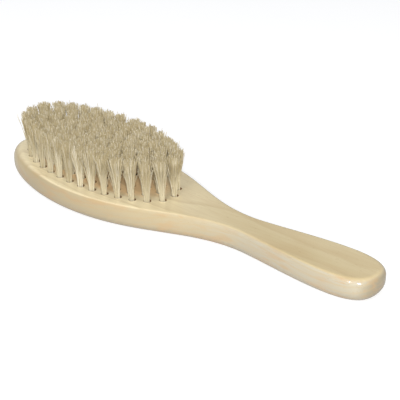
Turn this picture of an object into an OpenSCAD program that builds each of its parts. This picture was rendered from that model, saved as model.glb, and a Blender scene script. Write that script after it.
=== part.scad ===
// Vegetable brush: a one-piece wooden board with a rounded head and a waisted grip,
// drilled with blind holes that hold tufts of plant fibre. Each tuft is folded double
// over a flat wire anchor that bites into the wall of its hole.
// Lengths are in millimetres. The origin is on the flat back, halfway along the board.
// +X runs from the toe, the round end of the head, to the end of the grip.
// +Z points from the flat back to the fibre tips, and the right hand side is +Y.

/* [Board] */
// Overall length of the board, from the toe to the end of the grip
overall_l = 200; // [190:1:220]
// Thickness of the board
board_t = 11; // [10:0.5:15]
// Full width of the head at its widest place
head_w = 51; // [46:0.5:58]
// Full width of the waist between the head and the grip
waist_w = 14.2; // [12:0.2:18]
// Full width of the grip at its widest place
grip_w = 23; // [19:0.5:28]
// Distance from the toe to the widest place of the head
head_from_toe = 56; // [53:0.5:60]
// Distance from the toe to the waist
waist_from_toe = 134; // [126:1:140]
// Distance from the end of the grip back to its widest place
grip_from_end = 20; // [17:0.5:24]

/* [Outline curves] */
// How far the toe runs straight across before it turns
toe_round = 12; // [10:0.5:14]
// Length of the head's shoulder, from its widest place towards the toe
toe_shoulder = 27.5; // [22:0.5:31]
// Length of the head's shoulder, from its widest place towards the grip
heel_shoulder = 36.5; // [30:0.5:42]
// Length of the waist's curve on the head side
waist_to_head = 27; // [20:0.5:32]
// Length of the waist's curve on the grip side
waist_to_grip = 9; // [5:0.5:14]
// Length of the grip's swell on the waist side
grip_swell = 15.5; // [10:0.5:22]
// Length of the grip's widest place on the end side
grip_run = 7; // [4:0.5:10]
// How far the end of the grip runs straight across before it turns
end_round = 12.5; // [11.5:0.5:14]

/* [Rounded edges] */
// Radius of the edge round the bristle face
face_edge_r = 1.5; // [1:0.1:2.5]
// Radius of the same edge at the toe, where it is rolled over softly
toe_edge_r = 5.2; // [3:0.1:6]
// Radius of the same edge at the end of the grip
end_edge_r = 3; // [1.5:0.1:3.5]
// Radius of the edge round the back
back_edge_r = 4; // [2:0.1:4.4]
// Radius of the back's edge at the end of the grip
end_back_r = 6; // [4:0.1:6.2]
// Length over which the toe's soft roll fades out
toe_roll_l = 55; // [40:1:70]
// Length over which the rolls at the end of the grip fade out
end_roll_l = 20; // [14:1:30]

/* [Tuft pattern] */
// Length of the tufted field, between the centres of its end holes
field_l = 85.6; // [80:0.2:90]
// Distance from the toe to the centre of the first hole
toe_margin = 10.8; // [10:0.1:12]
// Turn of the tufted field on the head, in degrees
field_turn = -2; // [-4:0.5:0]
// Distance from the side of the head to the outer ring of holes, before the turn
side_margin = 7.2; // [6:0.1:8]
// Distance between one ring of holes and the next, at the toe and at the heel
ring_end_step = 7.2; // [6.4:0.1:7.5]
// Distance between neighbouring holes in the outer and middle ring and the centre row
hole_pitch = 6.65; // [6.5:0.05:8]
// The same distance in the inner ring, whose narrow ends need more room
inner_pitch = 7.5; // [7:0.1:8.5]
// Squareness of the rings, where 2 is an ellipse
oval_power = 2.1; // [2:0.05:2.6]
// Diameter of a hole
hole_d = 3.2; // [3:0.1:3.6]
// Depth of a hole
hole_depth = 7.5; // [6.5:0.1:8.5]

/* [Fibre] */
// Height of the fibre tips above the face of the board
fibre_h = 19; // [15:0.2:26]
// Diameter of a tuft where it leaves its hole
tuft_foot_d = 2.8; // [2.6:0.05:2.9]
// Diameter of a tuft at its tips
tuft_tip_d = 4.7; // [4:0.1:4.9]
// How far the tips lean out, for a tuft that stands half the field's size off upright
tuft_lean = 0.8; // [0.4:0.1:1.2]
// Distance from the toe to the place where the tufts stand upright
upright_from_toe = 85; // [60:1:100]
// Unevenness of the trimmed tips
trim_spread = 0.9; // [0.2:0.1:1.5]
// Depth of the packed root below the face of the board
root_recess = 0.3; // [0.1:0.1:0.8]
// Least gap between neighbouring strands of a tuft
strand_gap = 0.12; // [0.08:0.02:0.3]
// Strands that stand round the middle strand of each tuft
strands_around = 5; // [4:1:5]

/* [Anchor wire] */
// How far each end of an anchor bites into the wood
anchor_bite = 0.35; // [0.2:0.05:0.5]
// Height of an anchor
anchor_h = 1.5; // [1:0.1:2]
// Thickness of the anchor's flat wire
anchor_t = 0.4; // [0.3:0.05:0.6]
// Thickness of the folded fibre between an anchor and the bottom of its hole
anchor_lift = 0.6; // [0.4:0.1:1]

/* [Hidden] */

// Colours
wood_colour = [0.86, 0.78, 0.62];
fibre_colour = [0.72, 0.68, 0.56];
wire_colour = [0.62, 0.63, 0.64];

// Fineness of the curves
curve_steps = 18;
back_roll_steps = 4;
face_roll_steps = 5;
bore_fn = 32;

// How far a cut runs past the face it opens in
cut_over = 1;

// Places along the board, measured from the origin
toe_x = -overall_l / 2;
head_x = toe_x + head_from_toe;
waist_x = toe_x + waist_from_toe;
end_x = overall_l / 2;
field_x = toe_x + toe_margin + field_l / 2;
upright_x = toe_x + upright_from_toe;
grip_x = end_x - grip_from_end;

// Rings of holes: the outer, middle and inner ring, evenly spread across the head
// outside the centre row. A ring is split into sectors, one node each.
RINGS = ["outer", "middle", "inner"];
ring_sectors = [8, 8, 4];
ring_stagger = [0.7, 0, 0];
ring_pitch = [hole_pitch, hole_pitch, inner_pitch];
SECTORS = ["toe", "toe_right", "right", "heel_right", "heel", "heel_left", "left", "toe_left"];
field_half_w = head_w / 2 - side_margin;
ring_side_step = field_half_w / len(RINGS);
tip_room = 0.8;
oval_steps = 180;
tip_seed = 41;

function tuft_node(ring, sector) =
    str(RINGS[ring], "_tufts_", SECTORS[sector * len(SECTORS) / ring_sectors[ring]]);
function anchor_node(ring) = str(RINGS[ring], "_anchors");

// Outline of the board: four cubic curves along the right side, from the toe to the end
outline_curves = [
    [[toe_x, 0], [toe_x, toe_round], [head_x - toe_shoulder, head_w / 2], [head_x, head_w / 2]],
    [[head_x, head_w / 2], [head_x + heel_shoulder, head_w / 2],
        [waist_x - waist_to_head, waist_w / 2], [waist_x, waist_w / 2]],
    [[waist_x, waist_w / 2], [waist_x + waist_to_grip, waist_w / 2],
        [grip_x - grip_swell, grip_w / 2], [grip_x, grip_w / 2]],
    [[grip_x, grip_w / 2], [grip_x + grip_run, grip_w / 2], [end_x, end_round], [end_x, 0]]];

function curve_point(c, t) =
    pow(1 - t, 3) * c[0] + 3 * pow(1 - t, 2) * t * c[1] + 3 * (1 - t) * t * t * c[2] + pow(t, 3) * c[3];
function curve_slope(c, t) =
    pow(1 - t, 2) * (c[1] - c[0]) + 2 * (1 - t) * t * (c[2] - c[1]) + t * t * (c[3] - c[2]);
function outward(slope) = [-slope[1], slope[0]] / norm(slope);

// Each entry is a point of the outline and its outward direction
right_side = [for (c = outline_curves, i = [0 : curve_steps - 1])
    let (t = i / curve_steps) [curve_point(c, t), outward(curve_slope(c, t))]];
end_point = [[[end_x, 0], [1, 0]]];
left_side = [for (i = [len(right_side) - 1 : -1 : 1])
    [for (v = right_side[i]) [v[0], -v[1]]]];
outline = concat(right_side, end_point, left_side);

// The face's edge radius runs from the toe's roll to the plain edge and the end's roll,
// and the back's edge radius from its plain edge to the end's roll
function fade(t) = let (u = min(max(t, 0), 1)) u * u * (3 - 2 * u);
function face_r(x) = face_edge_r
    + (toe_edge_r - face_edge_r) * fade(1 - (x - toe_x) / toe_roll_l)
    + (end_edge_r - face_edge_r) * fade(1 - (end_x - x) / end_roll_l);
function back_r(x) = back_edge_r
    + (end_back_r - back_edge_r) * fade(1 - (end_x - x) / end_roll_l);

// A loop of points round the board, drawn in by a rounded edge at the given angle
function back_loop(angle) = [for (p = outline)
    let (r = back_r(p[0][0]), q = p[0] - p[1] * r * (1 - cos(angle)))
    [q[0], q[1], r * (1 - sin(angle))]];
function face_loop(angle) = [for (p = outline)
    let (r = face_r(p[0][0]), q = p[0] - p[1] * r * (1 - cos(angle)))
    [q[0], q[1], board_t - r * (1 - sin(angle))]];

// A solid skinned over loops of equal length, from the back up to the face. Its two
// flat ends are strips between opposite points, because the outline is hollow at the waist.
module skin_board(loops) {
    n = len(loops[0]);
    top = (len(loops) - 1) * n;
    strip = [for (i = [1 : n / 2 - 2]) [i, i + 1, n - i - 1, n - i]];
    back = concat([[0, 1, n - 1]], strip, [[n / 2 - 1, n / 2, n / 2 + 1]]);
    face = [for (f = back) [for (i = [len(f) - 1 : -1 : 0]) top + f[i]]];
    walls = [for (k = [0 : len(loops) - 2], i = [0 : n - 1])
        let (a = k * n + i, b = k * n + (i + 1) % n)
        each [[a, a + n, b], [b, a + n, b + n]]];
    polyhedron([for (l = loops) each l], concat(back, walls, face), convexity = 6);
}

module blank() {
    back_loops = [for (i = [0 : back_roll_steps]) back_loop(90 * (1 - i / back_roll_steps))];
    face_loops = [for (i = [0 : face_roll_steps]) face_loop(90 * i / face_roll_steps)];
    skin_board(concat(back_loops, face_loops));
}

// A place in the tufted field, given from the field's middle, on the board
function on_board(p) = [
    field_x + p[0] * cos(field_turn) - p[1] * sin(field_turn),
    p[0] * sin(field_turn) + p[1] * cos(field_turn)];

// Ring of holes: an oval whose holes are spaced by the length along it
function power(v) = sign(v) * pow(abs(v), 2 / oval_power);
function oval_point(ring, angle) = on_board([
    (ring * ring_end_step - field_l / 2) * power(cos(angle)),
    (field_half_w - ring * ring_side_step) * power(sin(angle))]);
function oval_table(ring) = [
    for (i = 0, s = 0, p = oval_point(ring, 0); i <= oval_steps;
        i = i + 1, q = oval_point(ring, 360 * i / oval_steps), s = s + norm(q - p), p = q)
    [s, 360 * i / oval_steps]];
function ring_count(ring, girth) = 2 * round(girth / ring_pitch[ring] / 2);
function ring_holes(ring) =
    let (table = oval_table(ring), girth = table[oval_steps][0], n = ring_count(ring, girth))
    [for (i = [0 : n - 1]) let (u = (i + ring_stagger[ring]) / n)
        [oval_point(ring, lookup(girth * u, table)), u]];
ring_spots = [for (ring = [0 : len(RINGS) - 1]) ring_holes(ring)];

// The holes of one sector of a ring, where sector 0 is centred on the toe
function sector_of(ring, u) = floor(u * ring_sectors[ring] + 0.5) % ring_sectors[ring];
function sector_spots(ring, sector) =
    [for (h = ring_spots[ring]) if (sector_of(ring, h[1]) == sector) h[0]];

// Centre row, in the room inside the inner ring, with half a pitch clear at each end
row_l = field_l - 2 * len(RINGS) * ring_end_step;
row_count = round(row_l / hole_pitch);
row_spots = [for (i = [0 : row_count - 1]) on_board([row_l * ((i + 0.5) / row_count - 0.5), 0])];

// The tips stay clear of the next ring's where a narrow head brings the rings together
tip_d = min(tuft_tip_d, tip_room * ring_side_step);

// Places up the board and the tufts
hole_floor_z = board_t - hole_depth;
anchor_z = hole_floor_z + anchor_lift;
root_top_z = board_t - root_recess;
tip_z = board_t + fibre_h;

// One blind hole, with the slot that the anchor's ends cut into its wall
module hole(spot) {
    translate([spot[0], spot[1], hole_floor_z])
        cylinder(d = hole_d, h = hole_depth + cut_over, $fn = bore_fn);
    anchor(spot);
}

module anchor(spot) {
    anchor_l = hole_d + 2 * anchor_bite;
    translate([spot[0] - anchor_t / 2, spot[1] - anchor_l / 2, anchor_z])
        cube([anchor_t, anchor_l, anchor_h]);
}

// Strands of a tuft: three sides each, from inside the root to a blunt tip. One stands
// in the middle and the others round it, with a flat side inwards. The tuft opens most
// of the way at the bend, whose height is a share of the fibre's.
strand_sides = 3;
strand_sink = 0.4;
bend_height = 0.55;
bend_open = 0.8;

// Half widths of the strands that fit round and in the middle of a tuft of radius tuft_r
function outer_half_w(tuft_r) = let (half_step = tan(180 / strands_around))
    (tuft_r * half_step - strand_gap / 2) / (sin(180 / strand_sides) + 1.5 * half_step);
function inner_half_w(tuft_r) = let (r = outer_half_w(tuft_r))
    min(r, tuft_r - 1.5 * r - strand_gap);

function strand_ring(centre, half_w, turn, z) = [for (k = [0 : strand_sides - 1])
    let (a = turn + 360 * k / strand_sides)
    [centre[0] + half_w * cos(a), centre[1] + half_w * sin(a), z]];

// A strand through a list of stops, each with its centre, half width and height
module strand(stops, turn) {
    n = strand_sides;
    last = (len(stops) - 1) * n;
    walls = [for (k = [0 : len(stops) - 2], i = [0 : n - 1])
        let (a = k * n + i, b = k * n + (i + 1) % n)
        each [[a, a + n, b], [b, a + n, b + n]]];
    polyhedron([for (s = stops) each strand_ring(s[0], s[1], turn, s[2])],
        concat([[for (i = [0 : n - 1]) i]], walls, [[for (i = [n - 1 : -1 : 0]) last + i]]));
}

// One tuft: a root packed into its hole round the anchor, and the strands above it.
// It leans away from the upright place, by as much as it stands off it.
module tuft(spot) {
    lean = tuft_lean * [(spot[0] - upright_x) / (field_l / 2), spot[1] / field_half_w];
    drops = rands(0, trim_spread, strands_around + 1, tip_seed + spot[0] + spot[1]);
    foot_r = tuft_foot_d / 2;
    tip_r = tip_d / 2;
    bend_r = foot_r + (tip_r - foot_r) * bend_open;
    bend_z = board_t + bend_height * fibre_h;
    difference() {
        translate([spot[0], spot[1], hole_floor_z])
            cylinder(d = hole_d, h = root_top_z - hole_floor_z, $fn = bore_fn);
        anchor(spot);
    }
    strand([
        [spot, inner_half_w(foot_r), root_top_z - strand_sink],
        [spot + lean * bend_height, inner_half_w(bend_r), bend_z],
        [spot + lean, inner_half_w(tip_r), tip_z - drops[0]]], 0);
    for (i = [1 : strands_around]) {
        turn = 360 * i / strands_around;
        side = [cos(turn), sin(turn)];
        strand([for (s = [
            [spot, foot_r, root_top_z - strand_sink],
            [spot + lean * bend_height, bend_r, bend_z],
            [spot + lean, tip_r, tip_z - drops[i]]])
            let (w = outer_half_w(s[1])) [s[0] + side * (s[1] - w), w, s[2]]], turn);
    }
}

// Sub-parts
module wooden_body() {
    color(wood_colour) difference() {
        blank();
        for (holes = ring_spots, h = holes) hole(h[0]);
        for (spot = row_spots) hole(spot);
    }
}

module ring_tufts(ring, sector) {
    color(fibre_colour) for (spot = sector_spots(ring, sector)) tuft(spot);
}

module centre_tufts() {
    color(fibre_colour) for (spot = row_spots) tuft(spot);
}

module ring_anchors(ring) {
    color(wire_colour) for (h = ring_spots[ring]) anchor(h[0]);
}

module centre_anchors() {
    color(wire_colour) for (spot = row_spots) anchor(spot);
}

wooden_body();
for (ring = [0 : len(RINGS) - 1], sector = [0 : ring_sectors[ring] - 1])
    ring_tufts(ring, sector);
centre_tufts();
for (ring = [0 : len(RINGS) - 1])
    ring_anchors(ring);
centre_anchors();
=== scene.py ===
"""A vegetable brush: a lacquered wooden board with tufts of plant fibre in drilled holes.

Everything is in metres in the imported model's frame. X runs from the toe of the head to
the end of the grip, the flat back is at z = 0 and the fibre tips are uppermost.
"""

import math

import bmesh
import bpy
import numpy as np
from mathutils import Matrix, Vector
from mathutils.geometry import delaunay_2d_cdt


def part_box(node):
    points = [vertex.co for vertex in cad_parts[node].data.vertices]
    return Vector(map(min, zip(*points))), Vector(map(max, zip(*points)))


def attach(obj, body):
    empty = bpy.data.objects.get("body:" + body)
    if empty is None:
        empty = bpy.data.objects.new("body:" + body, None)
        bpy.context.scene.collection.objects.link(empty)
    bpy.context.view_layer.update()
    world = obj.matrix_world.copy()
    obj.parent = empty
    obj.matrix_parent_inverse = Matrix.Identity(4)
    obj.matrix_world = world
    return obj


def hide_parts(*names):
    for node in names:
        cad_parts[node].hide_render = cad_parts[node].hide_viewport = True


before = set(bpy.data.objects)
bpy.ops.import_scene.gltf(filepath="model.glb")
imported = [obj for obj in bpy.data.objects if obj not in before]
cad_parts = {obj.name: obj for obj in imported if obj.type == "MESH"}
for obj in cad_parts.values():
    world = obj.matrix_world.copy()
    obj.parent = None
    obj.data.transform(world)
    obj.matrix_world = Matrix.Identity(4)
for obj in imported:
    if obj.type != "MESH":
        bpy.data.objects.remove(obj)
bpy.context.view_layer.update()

# Wooden body
# One board of pale beech, sawn to its outline with the grain along it, sanded round at the
# edges and drilled with blind holes, each with a thin torn rim. Clear lacquer covers it all.
MM = 0.001
BODY_LOW, BODY_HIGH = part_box("wooden_body")
FACE_Z = BODY_HIGH.z
TOE_X, END_X = BODY_LOW.x, BODY_HIGH.x

# The right side of the outline, as four cubic curves from the toe to the end, in millimetres
OUTLINE = [
    [(-100, 0), (-100, 12), (-71.5, 25.5), (-44, 25.5)],
    [(-44, 25.5), (-7.5, 25.5), (7, 7.1), (34, 7.1)],
    [(34, 7.1), (43, 7.1), (64.5, 11.5), (80, 11.5)],
    [(80, 11.5), (87, 11.5), (100, 12.5), (100, 0)],
]

# Points on each curve of the outline, rings of them round each edge and up the wall, and how
# many rings of the face's rounded edge belong to the wall before triangles take over
CURVE_STEPS = 60
EDGE_STEPS = 9
WALL_STEPS = 4
WALL_ROLLS = 5

# How far the back's edge and the face's are rounded, also at the end and at the toe, how far
# from there the change starts, and the strip of flat wood inside each rounded edge
BACK_EDGE, END_BACK_EDGE = 4 * MM, 6 * MM
FACE_EDGE, TOE_EDGE, END_EDGE = 1.5 * MM, 5.2 * MM, 3 * MM
TOE_ROLL, END_ROLL = 55 * MM, 20 * MM
FLAT_MARGIN = 0.3 * MM

# The rim of a hole: distance from its middle and height above the face, in millimetres,
# how far the fibres are torn up there, and whether it is bare wood inside the hole, which is
# also darkened there as painted shade
RIM_POINTS = 24
RIM = [
    (2.3, 0, 0, 0), (2.1, 0, 0, 0), (1.92, 0.01, 0.4, 0), (1.78, 0.05, 1, 0.1),
    (1.66, 0.04, 1, 0.4), (1.6, -0.06, 0.2, 1), (1.6, -0.5, 0, 1), (1.6, -2.5, 0, 1),
    (1.6, -7.5, 0, 1),
]

# How high torn wood stands, how fine its noise is and the level of noise that stays flat, and
# how many rim radii the points of the face's rounded edge keep from the middle of a hole
TORN_HEIGHT, TORN_SCALE, TORN_LEVEL = 0.16 * MM, 900.0, 0.4
RIM_CLEARANCE = 1.06

# Points of the solids within these distances are on one level, or belong to one hole
SAME_LEVEL, ONE_HOLE = 0.01 * MM, 3.5 * MM


def fade(t):
    """Rises smoothly from 0 to 1 while t does."""
    u = np.clip(t, 0, 1)
    return u * u * (3 - 2 * u)


def outline_loop():
    """Points round the board from the toe along the right side, and their outward directions."""
    t = (np.arange(CURVE_STEPS) / CURVE_STEPS)[:, None]
    places, outwards = [], []
    u = 1 - t
    for curve in OUTLINE:
        a, b, c, d = (np.array(p) * MM for p in curve)
        places.append(u ** 3 * a + 3 * u ** 2 * t * b + 3 * u * t * t * c + t ** 3 * d)
        slope = u ** 2 * (b - a) + 2 * u * t * (c - b) + t * t * (d - c)
        outwards.append(np.column_stack([-slope[:, 1], slope[:, 0]]))
    right = np.vstack(places + [[(END_X, 0)]])
    out = np.vstack(outwards + [[(1, 0)]])
    out /= np.linalg.norm(out, axis=1)[:, None]
    mirror = np.array([1, -1])
    return np.vstack([right, right[-2:0:-1] * mirror]), np.vstack([out, out[-2:0:-1] * mirror])


def hole_spots(node):
    """The middles of a node's tufts, from the circles of points at the bottom of their roots."""
    points = np.array([v.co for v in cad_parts[node].data.vertices])
    floor = points[points[:, 2] < points[:, 2].min() + SAME_LEVEL][:, :2]
    spots = []
    while len(floor):
        near = np.linalg.norm(floor - floor[0], axis=1) < ONE_HOLE
        spots.append((floor[near].min(0) + floor[near].max(0)) / 2)
        floor = floor[~near]
    return spots


TUFT_NODES = sorted(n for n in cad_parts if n.split("_")[1] == "tufts")
tuft_spots = {n: hole_spots(n) for n in TUFT_NODES}
all_spots = [s for n in TUFT_NODES for s in tuft_spots[n]]

points, outward = outline_loop()
edge = (FACE_EDGE + (TOE_EDGE - FACE_EDGE) * fade(1 - (points[:, 0] - TOE_X) / TOE_ROLL)
        + (END_EDGE - FACE_EDGE) * fade(1 - (END_X - points[:, 0]) / END_ROLL))
back_edge = BACK_EDGE + (END_BACK_EDGE - BACK_EDGE) * fade(1 - (END_X - points[:, 0]) / END_ROLL)


def drop(x, y):
    """How far below the face the rounded edge has fallen at a place on the board."""
    away = np.array([x, y]) - points
    nearest = np.argmin((away ** 2).sum(1))
    inset = -away[nearest] @ outward[nearest]
    radius = edge[nearest]
    return radius - math.sqrt(radius ** 2 - max(radius - inset, 0) ** 2)


# The wall as rings of points, each a set of places and heights: a strip of the flat back,
# the back's rounded edge, the upright side and part of the face's rounded edge
walls = [(points - outward * (back_edge + FLAT_MARGIN)[:, None], 0 * edge)]
for turn in np.linspace(math.pi / 2, 0, EDGE_STEPS):
    walls.append((points - outward * (back_edge * (1 - math.cos(turn)))[:, None],
                  back_edge * (1 - math.sin(turn))))
for share in np.arange(1, WALL_STEPS) / WALL_STEPS:
    walls.append((points, back_edge + (FACE_Z - edge - back_edge) * share))
roll = [(points - outward * (edge * (1 - math.cos(turn)))[:, None],
         FACE_Z - edge * (1 - math.sin(turn))) for turn in np.linspace(0, math.pi / 2, EDGE_STEPS)]
roll.append((points - outward * (edge + FLAT_MARGIN)[:, None], 0 * edge + FACE_Z))
walls += roll[:WALL_ROLLS]

board = bmesh.new()
board.verts.layers.float.new("bare")
rings = [[board.verts.new((x, y, z)) for (x, y), z in zip(flat, heights)]
         for flat, heights in walls]
for lower, upper in zip(rings, rings[1:]):
    for i in range(len(lower)):
        j = (i + 1) % len(lower)
        board.faces.new((lower[i], upper[i], upper[j], lower[j]))


def add_object(name, data):
    """A new object in the scene, with this data."""
    made = bpy.data.objects.new(name, data)
    bpy.context.scene.collection.objects.link(made)
    return made


# One drilled hole, which the tree below repeats at every spot and tears a little differently
form = bmesh.new()
torn_layer = form.verts.layers.float.new("torn")
bare_shade_layer = form.verts.layers.float.new("bare")
turns = np.arange(RIM_POINTS) * 2 * math.pi / RIM_POINTS
circles = []
for radius, height, torn, bare_and_shade in RIM:
    circles.append([
        form.verts.new((radius * MM * math.cos(a), radius * MM * math.sin(a), height * MM))
        for a in turns])
    for v in circles[-1]:
        v[torn_layer], v[bare_shade_layer] = torn, bare_and_shade
for outer, inner in zip(circles, circles[1:]):
    for i in range(RIM_POINTS):
        j = (i + 1) % RIM_POINTS
        form.faces.new((outer[i], outer[j], inner[j], inner[i]))
form.faces.new(circles[-1])
form_mesh = bpy.data.meshes.new("drilled_hole_form")
form.to_mesh(form_mesh)
form.free()
form_object = add_object("drilled_hole_form", form_mesh)


class Wire:
    """One output of a node. Sums and products of wires and numbers add Math nodes."""

    def __init__(self, tree, socket=None):
        self.tree, self.socket = tree, socket

    def node(self, kind, settings=None, inputs=None, out=0):
        """Adds any node: first its settings, among them a ramp's stops, then its inputs."""
        made = self.tree.nodes.new(kind)
        for name, value in (settings or {}).items():
            if name == "stops":
                ramp = made.color_ramp.elements
                while len(ramp) < len(value):
                    ramp.new(1)
                for stop, (place, shade) in zip(ramp, value):
                    stop.position, stop.color = place, shade
            else:
                setattr(made, name, value)
        for key, value in (inputs or {}).items():
            if isinstance(value, Wire):
                self.tree.links.new(value.socket, made.inputs[key])
            else:
                made.inputs[key].default_value = value
        return Wire(self.tree, made.outputs[out]) if made.outputs else None

    def also(self, out):
        """Another output of the same node."""
        return Wire(self.tree, self.socket.node.outputs[out])

    def math(self, operation, *values):
        """A Math node on these values."""
        return self.node("ShaderNodeMath", {"operation": operation}, dict(enumerate(values)))

    def vector(self, operation, *values, out=0):
        """A Vector Math node on these values."""
        return self.node("ShaderNodeVectorMath", {"operation": operation},
                         dict(enumerate(values)), out)

    def __add__(self, other):
        return self.math("ADD", self, other)

    def __sub__(self, other):
        return self.math("SUBTRACT", self, other)

    def __rsub__(self, other):
        return self.math("SUBTRACT", other, self)

    def __mul__(self, other):
        return self.math("MULTIPLY", self, other)

    def __truediv__(self, other):
        return self.math("DIVIDE", self, other)

    def __pow__(self, other):
        return self.math("POWER", self, other)

    __radd__ = __add__
    __rmul__ = __mul__


def geometry_tree(name, sizes):
    """A Geometry Nodes tree with a named input for each size. Returns its group input as a wire."""
    tree = bpy.data.node_groups.new(name, "GeometryNodeTree")
    tree.interface.new_socket("Geometry", in_out="OUTPUT", socket_type="NodeSocketGeometry")
    tree.interface.new_socket("Geometry", in_out="INPUT", socket_type="NodeSocketGeometry")
    for size, kind in sizes.items():
        tree.interface.new_socket(size, in_out="INPUT", socket_type="NodeSocket" + kind)
    return Wire(tree).node("NodeGroupInput")


def on(geometry, kind, settings=None, **inputs):
    """A geometry node that changes this geometry, with its other inputs by name."""
    inputs = {name.replace("_", " "): value for name, value in inputs.items()}
    return geometry.node(kind, settings, {0: geometry, **inputs})


def grow(name, spots, z, tree, values):
    """An object with a point at each spot, its tree run with these values and made a plain mesh."""
    mesh = bpy.data.meshes.new(name)
    mesh.from_pydata([(x, y, z) for x, y in spots], [], [])
    piece = add_object(name, mesh)
    modifier = piece.modifiers.new(tree.name, "NODES")
    modifier.node_group = tree
    for item in tree.interface.items_tree:
        if item.in_out == "INPUT" and item.name in values:
            modifier[item.identifier] = values[item.name]
    graph = bpy.context.evaluated_depsgraph_get()
    plain = bpy.data.meshes.new_from_object(
        piece.evaluated_get(graph), preserve_all_data_layers=True, depsgraph=graph)
    piece.modifiers.clear()
    piece.data = plain
    return piece


def paint(r, g, b):
    """A colour as it is seen on a screen, 0 to 255, turned into the linear colour of a socket."""
    return tuple(((v / 255 + 0.055) / 1.055) ** 2.4 for v in (r, g, b)) + (1,)


def new_material(name, fixed):
    """A material with fixed values on its sockets, a wire to start from, and a socket feeder."""
    material = bpy.data.materials.new(name)
    material.use_nodes = True
    tree = material.node_tree
    shader = tree.nodes["Principled BSDF"]
    for socket, value in fixed.items():
        shader.inputs[socket].default_value = value

    def feed(socket, wire):
        tree.links.new(wire.socket, shader.inputs[socket])

    return material, Wire(tree), feed


def lumps(place, stretch, detail=2, out=0):
    """Noise at a place in millimetres. The stretch is how many lumps a millimetre has each way."""
    return place.node("ShaderNodeTexNoise", inputs={
        "Vector": place.vector("MULTIPLY", place, stretch), "Scale": 1, "Detail": detail}, out=out)


def rise(value, low, high):
    """0 below low and 1 above high, with a smooth rise between them."""
    return value.node("ShaderNodeMapRange", {"interpolation_type": "SMOOTHSTEP"},
                      {0: value, 1: low, 2: high})


def blend(factor, below, above):
    """The colour below where the factor is 0, and the one above where it is 1."""
    return factor.node("ShaderNodeMix", {"data_type": "RGBA"}, {0: factor, 6: below, 7: above}, 2)


def layered(colour, layers):
    """The colour under layers, each a mask of where it lies, its strength and its shade."""
    for mask, strength, shade in layers:
        colour = blend(mask * strength, colour, shade)
    return colour


# Broad tones: the grip's face in two shades of its own wood, then painted light and shade: the
# grip's sides greyed as a painted reflection, the head's face lightened, the head's sides
# darkened, painted shade low on the sides, end grain darkened partly by painted shade, and warm
# painted light on the face among the tufts
PALE_WOOD, DEEP_WOOD, SIDE_LIGHTING_WOOD = paint(214, 198, 158), paint(200, 181, 137), paint(180, 174, 157)
LIT_HEAD_WOOD, HEAD_SIDE_SHADE_WOOD = paint(252, 238, 200), paint(170, 155, 124)
LOW_SHADE_WOOD, END_GRAIN_AND_SHADE_WOOD, BOUNCE_LIT_WOOD = paint(138, 134, 124), paint(140, 128, 102), paint(255, 214, 158)

# Marks: late wood and fine grain, warm streaks, pores and specks, and the wood in the holes,
# bare of lacquer and darkened partly by painted shade
RING_WOOD, STREAK_WOOD = paint(186, 160, 116), paint(190, 148, 98)
FLECK_WOOD, BARE_SHADED_WOOD = paint(158, 128, 88), paint(128, 94, 58)
BLACK, FAINT, WHITE = (0, 0, 0, 1), (0.12, 0.12, 0.12, 1), (1, 1, 1, 1)

# Places in millimetres: the stretches along the board where the head's painted tones turn into
# the grip's and the toe's, the tufted oval's middle and half size, the heights between which its
# warm painted light comes in, and the height below which painted shade darkens the sides and
# how far down it goes on
GRIP_FADE, TOE_FADE = (-30, 50), (-104, -62)
FIELD_MIDDLE, FIELD_HALF = (-46.4, 0, 0), (42.8, 18.3, 1)
BOUNCE_FADE = (9.5, 10.8)
LOW_SIDE, LOW_REACH = 9, 10

# Growth rings: their axis, how much they taper along it, their width and their wandering
RING_AXIS, RING_TAPER, RING_WIDTH = (0, 9, -40), (0.022, 1, 1), 2.6
WANDER = (0, 9, 9)

# The lacquer's weight, how rough the wood under it is, what the grain and bare wood add to
# that, and the strength and height of the grain's relief
LACQUER, WOOD_ROUGHNESS, GRAIN_ROUGHNESS, BARE_ROUGHNESS = 0.75, 0.42, 0.14, 0.3
GRAIN_STRENGTH, GRAIN_HEIGHT = 0.35, 0.05 * MM

# Objects are in metres, and the patterns on them in millimetres
TO_MM = (1000, 1000, 1000)

lacquered_wood, start, feed = new_material("lacquered_wood", {
    "IOR": 1.45, "Specular IOR Level": 0.35, "Coat Roughness": 0.07, "Coat IOR": 1.5})
place = start.node("ShaderNodeTexCoord", out="Object")
place = place.vector("MULTIPLY", place, TO_MM)
wander = lumps(place, (0.011, 0.03, 0.03), 2, "Color")
wander = place.vector("ADD", place, wander.vector(
    "MULTIPLY", wander.vector("SUBTRACT", wander, (0.5, 0.5, 0.5)), WANDER))
from_axis = wander.vector("SUBTRACT", wander.vector("MULTIPLY", wander, RING_TAPER), RING_AXIS)
ring = from_axis.math("FRACT", from_axis.vector("LENGTH", from_axis, out=1) / RING_WIDTH)
late_wood = ring.node("ShaderNodeValToRGB", {
    "stops": [(0, BLACK), (0.6, FAINT), (0.9, WHITE), (1, BLACK)]}, {0: ring})

# Noise for the patches and marks, most of it drawn out along the grain
patches = lumps(place, (0.014, 0.07, 0.07), 3)
clouds = lumps(place, (0.06, 0.16, 0.3), 3)
fine_grain = lumps(wander, (0.045, 1.7, 1.7), 4)
hair_grain = lumps(wander, (0.16, 6, 6), 3)
streaks = rise(lumps(wander, (0.022, 0.55, 0.55), 3), 0.6, 0.74) * rise(patches, 0.42, 0.62)
pores = rise(lumps(place, (0.45, 3.4, 3.4), 1), 0.71, 0.79)
specks = rise(lumps(place, (0.16, 0.22, 0.22), 2), 0.76, 0.8)
# Bare wood in the holes, without lacquer and darkened partly as painted shade
bare_and_shade = start.node("ShaderNodeAttribute", {"attribute_name": "bare"}, out="Fac")
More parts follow.
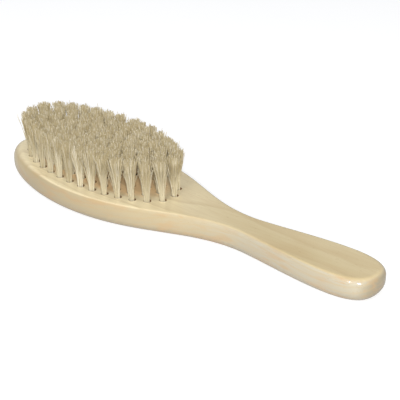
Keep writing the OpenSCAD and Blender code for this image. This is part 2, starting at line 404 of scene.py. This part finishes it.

# Where on the board a point is: its height, how far out on the tufted oval, and then masks
# of the painted light among the tufts, the sides, their low painted shade, the grip, all that
# is past the toe, and the end grain
above_back = place.node("ShaderNodeSeparateXYZ", inputs={0: place}, out="Z")
oval = place.vector("DIVIDE", place.vector("SUBTRACT", place, FIELD_MIDDLE), FIELD_HALF)
oval = oval.vector("LENGTH", oval.vector("MULTIPLY", oval, (1, 1, 0)), out=1)
bounce_light = rise(1 - oval, 0, 0.25) * rise(above_back, *BOUNCE_FADE)
facing = start.node("ShaderNodeSeparateXYZ", inputs={
    0: start.node("ShaderNodeNewGeometry", out="Normal")})
sideways = rise(1 - facing.also("Z"), 0.02, 0.4)
low_side_shade = sideways * rise(LOW_SIDE - above_back, 0, LOW_REACH)
from_middle = place.node("ShaderNodeSeparateXYZ", inputs={0: place})
grip, past_toe = rise(from_middle, *GRIP_FADE), rise(from_middle, *TOE_FADE)
end_grain = rise(facing.math("ABSOLUTE", facing), 0.4, 0.95) * grip

# The broad tones come first, and the marks over them. Apart from the grip's two shades of wood,
# the broad tones are painted light and shade
feed("Base Color", layered(blend(rise(patches, 0.3, 0.72), PALE_WOOD, DEEP_WOOD), [
    # painted light: the head's face lightened
    ((1 - grip) * (1 - sideways), 0.75, LIT_HEAD_WOOD),
    # painted reflection and shade: the grip's sides greyer and darker than its face
    (grip * sideways, 0.8, SIDE_LIGHTING_WOOD),
    # painted shade: the head's sides darker, fading out towards the toe
    ((1 - grip) * sideways * past_toe, 0.85, HEAD_SIDE_SHADE_WOOD),
    # painted shade: darker and greyer low on the sides
    (low_side_shade, 0.42, LOW_SHADE_WOOD),
    # end grain, darker partly by its own colour and partly by painted shade
    (end_grain, 0.7, END_GRAIN_AND_SHADE_WOOD),
    # painted light: warm light from the fibres on the face among the tufts, brightened against
    # their shade
    (bounce_light, 0.85, BOUNCE_LIT_WOOD),
    (rise(clouds, 0.47, 0.64) * (sideways + 0.3), 0.26, STREAK_WOOD),
    (late_wood, 0.3, RING_WOOD),
    (rise(fine_grain, 0.35, 0.8), 0.22, RING_WOOD),
    (streaks, 0.42, STREAK_WOOD),
    (pores, 0.5, FLECK_WOOD),
    (specks, 0.55, FLECK_WOOD),
    (bare_and_shade, 0.85, BARE_SHADED_WOOD),
]))
feed("Roughness", fine_grain * GRAIN_ROUGHNESS + WOOD_ROUGHNESS + bare_and_shade * BARE_ROUGHNESS)
feed("Coat Weight", LACQUER - bare_and_shade * LACQUER)
relief = fine_grain * 0.5 + hair_grain * 0.3 - pores * 0.5 - late_wood * 0.2
feed("Normal", relief.node("ShaderNodeBump", inputs={
    "Strength": GRAIN_STRENGTH, "Distance": GRAIN_HEIGHT, "Height": relief}))

# The holes: the one form at every spot, its rim lifted and sunk unevenly where it is torn
sizes = geometry_tree("drilled_holes", {
    "Form": "Object", "Torn height": "Float", "Noise scale": "Float", "Material": "Material"})
one_hole = sizes.node("GeometryNodeObjectInfo", inputs={"Object": sizes.also("Form")},
                      out="Geometry")
holes = on(sizes, "GeometryNodeInstanceOnPoints", Instance=one_hole)
holes = on(holes, "GeometryNodeRealizeInstances")
torn = sizes.node("GeometryNodeInputNamedAttribute", {"data_type": "FLOAT"}, {"Name": "torn"})
ragged = sizes.node("ShaderNodeTexNoise", inputs={"Scale": sizes.also("Noise scale"), "Detail": 2})
lift = (ragged - TORN_LEVEL) * torn * sizes.also("Torn height") * 2
holes = on(holes, "GeometryNodeSetPosition",
           Offset=sizes.node("ShaderNodeCombineXYZ", inputs={"Z": lift}))
holes = on(holes, "GeometryNodeSetMaterial", Material=sizes.also("Material"))
on(holes, "NodeGroupOutput")
drilled = grow("drilled_holes", all_spots, FACE_Z, sizes.tree, {
    "Form": form_object, "Torn height": TORN_HEIGHT, "Noise scale": TORN_SCALE,
    "Material": lacquered_wood})

# The holes join the board, following its rounded edge, and triangles fill the face between
# the holes and the walls, with the rest of the edge's roll among them, and then the back
RIM_RADIUS = RIM[0][0] * MM
INSIDE_ONLY, SAME_POINT = 1, 1e-6
for v in drilled.data.vertices:
    if v.co.z > FACE_Z - MM:
        v.co.z -= drop(v.co.x, v.co.y)
board.from_mesh(drilled.data)
for done in (drilled, form_object):
    bpy.data.objects.remove(done)


def off_holes(x, y):
    """How far a place on the board is from the middle of the nearest hole."""
    return np.linalg.norm(np.array(all_spots) - (x, y), axis=1).min()


def fill(edges, is_face):
    """Closes the space inside the outermost edges with triangles, leaving the holes open."""
    corners = list({v: None for pair in edges for v in pair})
    number = {v: i for i, v in enumerate(corners)}
    _, _, triangles, origins, _, _ = delaunay_2d_cdt(
        [v.co.xy / MM for v in corners], [(number[a], number[b]) for a, b in edges], [],
        INSIDE_ONLY, SAME_POINT)
    for triangle in triangles:
        ends = [corners[origins[i][0]] for i in triangle]
        middle = sum((v.co for v in ends), Vector()) / len(ends)
        if not is_face or off_holes(*middle.xy) > RIM_RADIUS * math.cos(math.pi / RIM_POINTS):
            board.faces.new(ends)


open_edges = [tuple(e.verts) for e in board.edges if e.is_boundary]
face_edges = [pair for pair in open_edges if pair[0].co.z > BACK_EDGE]
for flat, heights in roll[WALL_ROLLS:]:
    row = [board.verts.new((x, y, z)) if off_holes(x, y) > RIM_RADIUS * RIM_CLEARANCE else None
           for (x, y), z in zip(flat, heights)]
    face_edges += [(row[i - 1], row[i]) for i in range(len(row)) if row[i - 1] and row[i]]
fill(face_edges, True)
fill([pair for pair in open_edges if pair[0].co.z < BACK_EDGE], False)
bmesh.ops.delete(board, geom=[v for v in board.verts if not v.link_faces], context="VERTS")
bmesh.ops.recalc_face_normals(board, faces=board.faces)
for f in board.faces:
    f.smooth = True
board_mesh = bpy.data.meshes.new("lacquered_board")
board.to_mesh(board_mesh)
board.free()
board_mesh.materials.append(lacquered_wood)
board_object = add_object("lacquered_board", board_mesh)
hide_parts("wooden_body")
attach(board_object, "root")

# Anchors
# A short length of flat galvanised wire in each hole, driven in over the folded fibre so
# that its ends bite into the wood. They keep their solids, and get the zinc's dull sheen.
DARK_ZINC, BRIGHT_ZINC = paint(150, 152, 153), paint(186, 188, 190)
galvanised_wire, start, feed = new_material("galvanised_wire", {"Metallic": 1.0})
place = start.node("ShaderNodeTexCoord", out="Object")
place = place.vector("MULTIPLY", place, TO_MM)
spangle = lumps(place, (1.5, 1.5, 1.5), 3)
drawn = lumps(place, (4, 0.4, 9), 2)
feed("Base Color", blend(spangle, DARK_ZINC, BRIGHT_ZINC))
feed("Roughness", spangle * 0.25 + 0.3)
feed("Normal", drawn.node("ShaderNodeBump", inputs={
    "Strength": 0.4, "Distance": 0.02 * MM, "Height": drawn}))
for name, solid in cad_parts.items():
    if name.endswith("_anchors"):
        solid.data.materials.clear()
        solid.data.materials.append(galvanised_wire)

# Tufts
# A bundle of stiff plant fibre in each hole, folded double over its anchor. The two halves
# stand up side by side, open out above the board and are trimmed level at the top.
HAIRS, HAIR_SEGMENTS, HAIR_WIDTH = 112, 13, 0.27 * MM

# A tuft's radius at its root and its tips, its root's place in the hole, the heights of the
# fold and the tips, the share of a half hair that is in the hole, and the gap by the anchor
ROOT_RADIUS, TIP_RADIUS = 1.1 * MM, 2.85 * MM
ROOT_SHIFT = -0.34 * MM
FOLD_Z, TIP_Z = 4.0 * MM, max(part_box(n)[1].z for n in TUFT_NODES)
HOLE_SHARE = 3 / 8
ANCHOR_GAP = 0.34 * MM

# Unevenness: how far below the tips most hairs and the shortest end, how far hairs sway and
# a few stray, how far a whole tuft tilts, hairs gather in locks, and the tuft's top is domed
TRIM, SHORT_HAIR = 0.6 * MM, 6.5 * MM
SWAY, STRAY, TUFT_TILT = 0.5 * MM, 3.4 * MM, 0.8 * MM
CLUMP, DOME = 1.7 * MM, 0.5 * MM
TUFT_SEED, SEED_STEP = 7, 100

# Tufts lean more the farther they stand from this spot, measured in these spans
LEAN = (-0.35 * MM, -0.2 * MM, 0)
UPRIGHT_SPOT, LEAN_SPAN = (-95 * MM, 0, 0), (42.8 * MM, 18.3 * MM, 1)

# Shades: pale at the root and tan at the tip, painted light and shade along the tufts, dark and
# light hairs, mottles, and darker columns of painted shade
ROOT_FIBRE, TIP_FIBRE = paint(211, 200, 169), paint(186, 172, 138)
DARK_FIBRE, LIGHT_FIBRE = paint(165, 146, 102), paint(246, 240, 220)
MOTTLED_FIBRE, SHADED_FIBRE = paint(190, 172, 134), paint(160, 144, 108)

dry_fibre, start, feed = new_material("dry_fibre", {"IOR": 1.5, "Specular IOR Level": 0.3})
place = start.node("ShaderNodeTexCoord", out="Object")
height = place.node("ShaderNodeSeparateXYZ", inputs={0: place}, out="Z")
height = (height - FACE_Z) / (TIP_Z - FACE_Z)
place = place.vector("MULTIPLY", place, TO_MM)
tone = start.node("ShaderNodeAttribute", {"attribute_name": "tone"}, out="Fac")
mottle = lumps(place, (2.2, 2.2, 0.5), 2)
clumps = lumps(place, (0.16, 0.16, 0.05), 1)
columns = lumps(place, (0.33, 0.33, 0.03), 1)
# Painted light along the hairs: paler near the root against the shade among the tufts, tan towards
# the tip
root_to_tip = rise(height + (clumps - 0.5) * 0.2, 0.2, 0.8)
feed("Base Color", layered(blend(root_to_tip, ROOT_FIBRE, TIP_FIBRE), [
    (rise(tone, 0.55, 0.95), 0.65, DARK_FIBRE),
    (rise(1 - tone, 0.65, 0.95), 0.5, LIGHT_FIBRE),
    (rise(mottle, 0.5, 0.75), 0.2, MOTTLED_FIBRE),
    (rise(columns, 0.45, 0.65), 0.25, SHADED_FIBRE),
]))
feed("Roughness", mottle * 0.2 + 0.5)

sizes = geometry_tree("folded_tufts", {
    "Hairs": "Int", "Segments": "Int", "Hole share": "Float", "Root radius": "Float",
    "Root shift": "Float", "Tip radius": "Float", "Hair width": "Float", "Anchor gap": "Float",
    "Fold height": "Float", "Face height": "Float", "Tip height": "Float", "Trim": "Float",
    "Short hair": "Float", "Sway": "Float", "Stray": "Float", "Tuft tilt": "Float",
    "Clump": "Float", "Dome": "Float", "Lean": "Vector", "Upright spot": "Vector",
    "Lean span": "Vector", "Seed": "Int", "Material": "Material"})


def size(name):
    """One of the tree's named inputs."""
    return sizes.also(name)


def keep(geometry, name, value, kind="FLOAT_VECTOR"):
    """The geometry with a value stored on its points under a name."""
    return on(geometry, "GeometryNodeStoreNamedAttribute", {"data_type": kind},
              Name=name, Value=value)


def kept(name):
    """A vector that was stored on the points."""
    return sizes.node("GeometryNodeInputNamedAttribute", {"data_type": "FLOAT_VECTOR"},
                      {"Name": name})


def chance(low, high, salt):
    """A random vector for each point, from low to high."""
    return sizes.node("FunctionNodeRandomValue", {"data_type": "FLOAT_VECTOR"}, {
        0: (low,) * 3, 1: (high,) * 3, 7: sizes.node("GeometryNodeInputIndex"),
        8: size("Seed") + salt})


def xyz(vector):
    """A vector's three parts."""
    parts = vector.node("ShaderNodeSeparateXYZ", inputs={0: vector})
    return parts, parts.also("Y"), parts.also("Z")


# Each spot keeps what its whole tuft shares, and becomes one point for each folded hair. A
# hair's seat is its place in half the round of the tuft, and the golden ratio spreads them
GOLDEN_RATIO = 0.618034
TUFT_SALT, LOOSE_SALT, LEFT_SALT, RIGHT_SALT = 0, 11, 23, 37
spots = keep(sizes, "tuft", chance(0, 1, TUFT_SALT))
spots = keep(spots, "spot", sizes.node("GeometryNodeInputPosition"))
spots = on(spots, "GeometryNodeDuplicateElements", {"domain": "POINT"}, Amount=size("Hairs"))
number = spots.also("Duplicate Index")
share = number.math("SQRT", (number + 0.5) / size("Hairs"))
fan = (number.math("FRACT", number * GOLDEN_RATIO + xyz(kept("tuft"))[0]) - 0.5) * math.pi
_, stray, tone = xyz(chance(0, 1, LOOSE_SALT))
spots = keep(spots, "seat", sizes.node("ShaderNodeCombineXYZ", inputs={
    0: share * fan.math("COSINE", fan), 1: share * fan.math("SINE", fan), 2: stray}))
spots = keep(spots, "tone", tone, "FLOAT")
spots = keep(spots, "left", chance(-1, 1, LEFT_SALT))
spots = keep(spots, "right", chance(-1, 1, RIGHT_SALT))

# One straight hair, three-sided and two long, which stands for both halves of the fold
hair = sizes.node("GeometryNodeMeshCylinder", {"fill_type": "NGON"}, {
    "Vertices": 3, "Side Segments": size("Segments"), "Radius": 1.0, "Depth": 2.0})
hair = keep(hair, "straight", sizes.node("GeometryNodeInputPosition"))
tufts = on(spots, "GeometryNodeInstanceOnPoints", Instance=hair)
tufts = on(tufts, "GeometryNodeRealizeInstances")

# Where a point of a hair goes: down its hole, round under the anchor, and up to its tip
side_x, side_y, along = xyz(kept("straight"))
seat_x, seat_y, stray = xyz(kept("seat"))
reach = along.math("ABSOLUTE", along)
in_hole = along.math("MINIMUM", reach / size("Hole share"), 1)
free = along.math("MAXIMUM", (reach - size("Hole share")) / (1 - size("Hole share")), 0)
side = along.math("SIGN", along)
swing = sizes.node("ShaderNodeMix", {"data_type": "VECTOR"}, {
    0: along.math("GREATER_THAN", along, 0), 4: kept("left"), 5: kept("right")}, 1)
swing_x, swing_y, swing_z = xyz(swing)
tuft_x, tuft_y, tuft_z = xyz(kept("tuft"))
lean = sizes.vector("SUBTRACT", kept("spot"), size("Upright spot"))
lean = sizes.vector("DIVIDE", lean, size("Lean span"))
lean_x, lean_y, _ = xyz(lean.vector("MULTIPLY", lean, size("Lean")))
spot_x, spot_y, _ = xyz(kept("spot"))

# A tuft opens slowly and then wide, some a little wider than others. The halves of a fold part
# soon above it, and the folds are staggered in height, by this many millimetres at most
OPENING_POWER, LEAST_OPENING, OPENING_SPREAD = 1.85, 0.9, 0.2
FOLD_PARTING, HOLE_POWER, FOLD_STAGGER = 3, 2.6, 0.3

# Few hairs stray or are much shorter. All gather in locks with uneven tops, wave a little and
# grow thinner towards the tip
STRAY_POWER, SHORT_POWER = 8, 4
CLUMP_SCALE, CLUMP_SALT = 2.4, 90
WAVE_TURN, WAVE_SALT, WAVE_SHARE = 7, 9, 0.4
HAIR_TAPER, DOME_SPREAD = 0.2, 0.6

opening = free ** OPENING_POWER * (
    size("Tip radius") * (tuft_z * OPENING_SPREAD + LEAST_OPENING) - size("Root radius"))
root_x = size("Anchor gap") + seat_x * (size("Root radius") - size("Anchor gap"))
root_x = (root_x + (seat_x * size("Root radius") - root_x) * in_hole) * side
root_x = root_x * root_x.math("MINIMUM", in_hole * FOLD_PARTING, 1)
loose = size("Sway") * free * free + size("Stray") * stray ** STRAY_POWER * free
wave = sizes.math("SINE", free * WAVE_TURN + swing_z * WAVE_SALT) * free * size("Sway") * WAVE_SHARE
lock = sizes.node("ShaderNodeCombineXYZ", inputs={
    0: side * seat_x * CLUMP_SCALE, 1: seat_y * CLUMP_SCALE, 2: tuft_x * CLUMP_SALT})
clump = sizes.node("ShaderNodeTexNoise", inputs={
    "Scale": 1, "Detail": 0, "Vector": lock}, out="Color")
clump_x, clump_y, clump_z = xyz(clump)
gather = size("Clump") * free * free
width = size("Hair width") * 0.5 * (1 - free * HAIR_TAPER)
x = (spot_x + size("Root shift") + root_x + side * seat_x * opening
     + free * (lean_x + (tuft_x - 0.5) * size("Tuft tilt"))
     + swing_x * loose + (clump_x - 0.5) * gather + wave + side_x * width)
y = (spot_y + seat_y * size("Root radius") + seat_y * opening
     + free * (lean_y + (tuft_y - 0.5) * size("Tuft tilt"))
     + swing_y * loose + (clump_y - 0.5) * gather - wave + side_y * width)
fold = size("Fold height") - seat_x * FOLD_STAGGER * MM
shorter = swing_z * 0.5 + 0.5
cut = size("Trim") * shorter + size("Short hair") * shorter ** SHORT_POWER
cut = cut + size("Dome") * (seat_x * seat_x + seat_y * seat_y + clump_z * DOME_SPREAD)
z = (fold + (size("Face height") - fold) * in_hole ** HOLE_POWER
     + free * (size("Tip height") - size("Face height") - cut))
tufts = on(tufts, "GeometryNodeSetPosition", Position=sizes.node(
    "ShaderNodeCombineXYZ", inputs={0: x, 1: y, 2: z}))
for name in ("tuft", "spot", "seat", "left", "right", "straight"):
    tufts = on(tufts, "GeometryNodeRemoveAttribute", Name=name)
tufts = on(tufts, "GeometryNodeSetShadeSmooth")
tufts = on(tufts, "GeometryNodeSetMaterial", Material=size("Material"))
on(tufts, "NodeGroupOutput")

for n, node in enumerate(TUFT_NODES):
    piece = grow(node.replace("tufts", "fibres"), tuft_spots[node], 0, sizes.tree, {
        "Hairs": HAIRS, "Segments": HAIR_SEGMENTS, "Hole share": HOLE_SHARE,
        "Root radius": ROOT_RADIUS, "Root shift": ROOT_SHIFT, "Tip radius": TIP_RADIUS,
        "Hair width": HAIR_WIDTH, "Anchor gap": ANCHOR_GAP, "Fold height": FOLD_Z,
        "Face height": FACE_Z, "Tip height": TIP_Z, "Trim": TRIM, "Short hair": SHORT_HAIR,
        "Sway": SWAY, "Stray": STRAY, "Tuft tilt": TUFT_TILT, "Clump": CLUMP, "Dome": DOME,
        "Lean": LEAN, "Upright spot": UPRIGHT_SPOT, "Lean span": LEAN_SPAN,
        "Seed": TUFT_SEED + SEED_STEP * n, "Material": dry_fibre})
    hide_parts(node)
    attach(piece, "root")

# Camera
# A long lens, held level above the near left side of the brush and looking down at it.
CAMERA_PLACE = Vector((0.28608, -0.33646, 0.24093))
CAMERA_TARGET = Vector((-0.005861, 0.020218, 0.000195))
LENS, SENSOR = 104.57, 36

camera = add_object("camera", bpy.data.cameras.new("camera"))
camera.data.lens, camera.data.sensor_width = LENS, SENSOR
camera.location = CAMERA_PLACE
camera.rotation_euler = (CAMERA_TARGET - CAMERA_PLACE).to_track_quat("-Z", "Y").to_euler()
bpy.context.scene.camera = camera

# Floor and light
# A plain white floor under an even sky. One lamp behind the camera shines almost along its
# line, a large one hangs high on the left, and a weak one draws the glint on the grip's end.
FLOOR_HALF = 2.5
FLOOR_GLOW, SKY_LIGHT = 0.34, 0.44
FLOOR_SHADE, FLOOR_SEEN = paint(215, 215, 216), paint(235, 236, 238)

# Each lamp's name, its place and target, its side in metres and its power in watts
LAMPS = [
    ("front_box", (0.7, -0.75, 0.514), (-0.05, 0, 0.02), 0.17, 12),
    ("high_box", (0, -0.8, 1.1), (0, 0, 0), 1.0, 2.4),
    ("glint_lamp", (0.2, -1.03, 0.764), (0, 0, 0), 0.17, 2.2),
]

# The camera sees the floor and the sky brighter than they light the brush
floor_white, start, feed = new_material("floor_white", {
    "Roughness": 0.9, "Specular IOR Level": 0.0, "Emission Strength": 1.0})
seen = start.node("ShaderNodeLightPath", out="Is Camera Ray")
feed("Base Color", blend(seen, FLOOR_SHADE, FLOOR_SEEN))
feed("Emission Color", blend(seen, BLACK, (FLOOR_GLOW, FLOOR_GLOW, FLOOR_GLOW, 1)))
floor_mesh = bpy.data.meshes.new("floor")
floor_mesh.from_pydata([(x * FLOOR_HALF, y * FLOOR_HALF, 0) for x, y in
                        ((-1, -1), (1, -1), (1, 1), (-1, 1))], [], [(0, 1, 2, 3)])
floor_mesh.materials.append(floor_white)
floor = add_object("floor", floor_mesh)

world = bpy.data.worlds.new("even_sky")
world.use_nodes = True
start = Wire(world.node_tree)
seen = start.node("ShaderNodeLightPath", out="Is Camera Ray")
sky = start.node("ShaderNodeBackground", inputs={
    "Color": WHITE, "Strength": seen * (1 - SKY_LIGHT) + SKY_LIGHT})
world.node_tree.links.new(sky.socket, world.node_tree.nodes["World Output"].inputs["Surface"])
bpy.context.scene.world = world

for name, spot, target, side, power in LAMPS:
    light = bpy.data.lights.new(name, "AREA")
    light.size, light.energy = side, power
    lamp = add_object(name, light)
    lamp.location = spot
    lamp.rotation_euler = (Vector(target) - Vector(spot)).to_track_quat("-Z", "Y").to_euler()
bpy.context.scene.view_settings.view_transform = "Standard"
